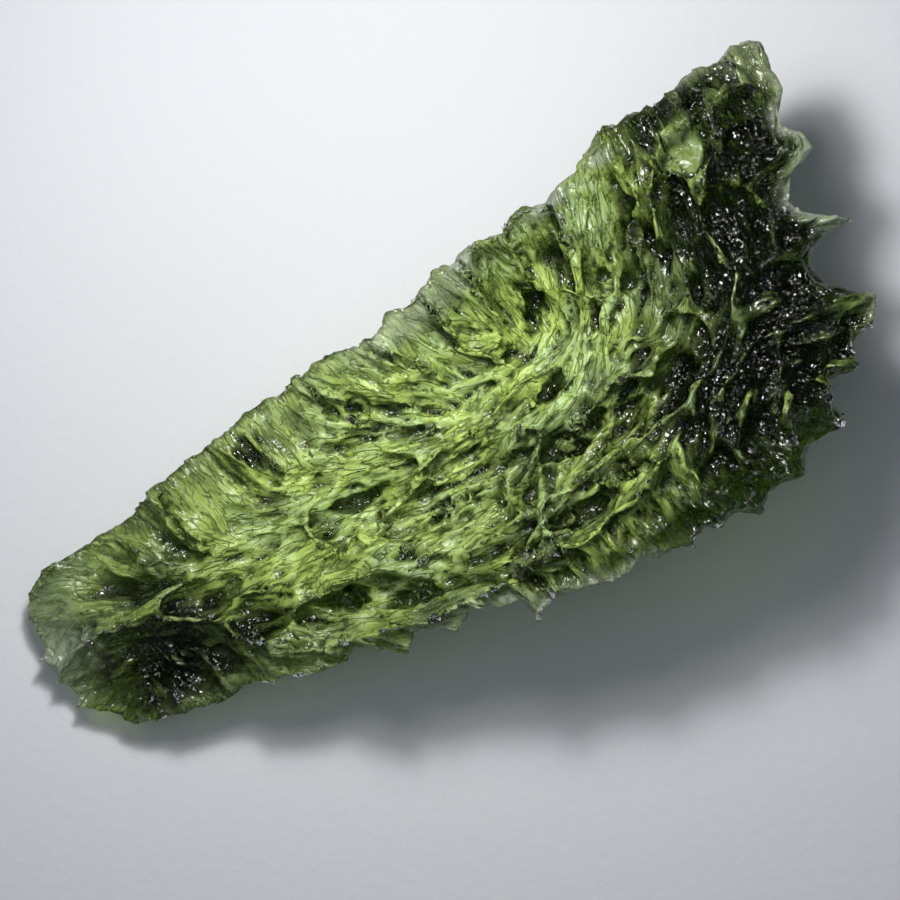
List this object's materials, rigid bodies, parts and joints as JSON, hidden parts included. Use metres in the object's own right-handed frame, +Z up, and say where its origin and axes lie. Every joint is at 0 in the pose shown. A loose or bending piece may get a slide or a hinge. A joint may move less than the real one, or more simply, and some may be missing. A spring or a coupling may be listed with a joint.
{
  "type": "moldavite stone",
  "caption": "Natural moldavite: a dished slab of etched green glass with a long straight rim, a spiny belly and a small fresh chip.",
  "frame": {"origin": "middle of the footprint box, on the table plane", "axes": "+X along the straight rim, towards the thick end; +Y across the slab, towards the straight rim; +Z up"},
  "size_m": [0.0504, 0.0214, 0.0149],
  "materials": {
    "moldavite_glass": "natural etched, glossy"
  },
  "bodies": {
    "root": {"moldavite": "moldavite_glass"}
  },
  "joints": []
}
